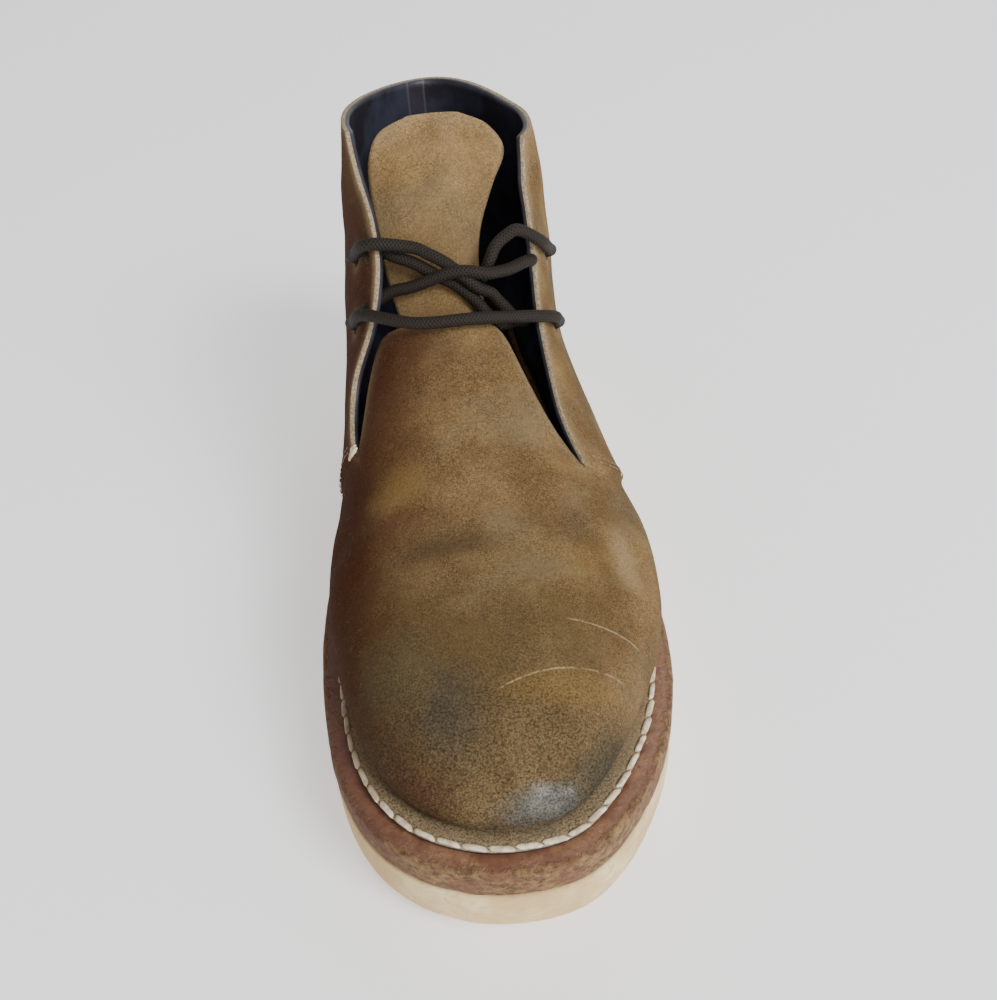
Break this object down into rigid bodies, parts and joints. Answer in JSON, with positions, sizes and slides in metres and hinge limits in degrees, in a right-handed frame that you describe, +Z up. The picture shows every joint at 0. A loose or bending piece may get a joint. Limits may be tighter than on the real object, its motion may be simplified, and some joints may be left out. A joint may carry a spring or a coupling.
{
  "type": "chukka boot",
  "caption": "Left lace-up chukka boot in worn suede, with a stitched-down leather midsole and a pale rubber sole",
  "frame": {"origin": "middle of the boot's outline, on the plane that the sole stands on", "axes": "+Y to the heel, so the toe points to -Y; +Z up; -X is the inner (big toe) side of this left boot"},
  "size_m": [0.1078, 0.3046, 0.1416],
  "materials": {
    "suede": "matt napped suede",
    "lining": "smooth dark lining leather",
    "brown_leather": "stained sole leather",
    "cream_rubber": "matt",
    "dark_cord": "waxed woven cord"
  },
  "bodies": {
    "root": {"outsole": "cream_rubber", "heel": "cream_rubber", "midsole": "brown_leather", "insole": "lining", "upper": "suede", "tongue": "suede", "lace": "dark_cord"}
  },
  "joints": []
}
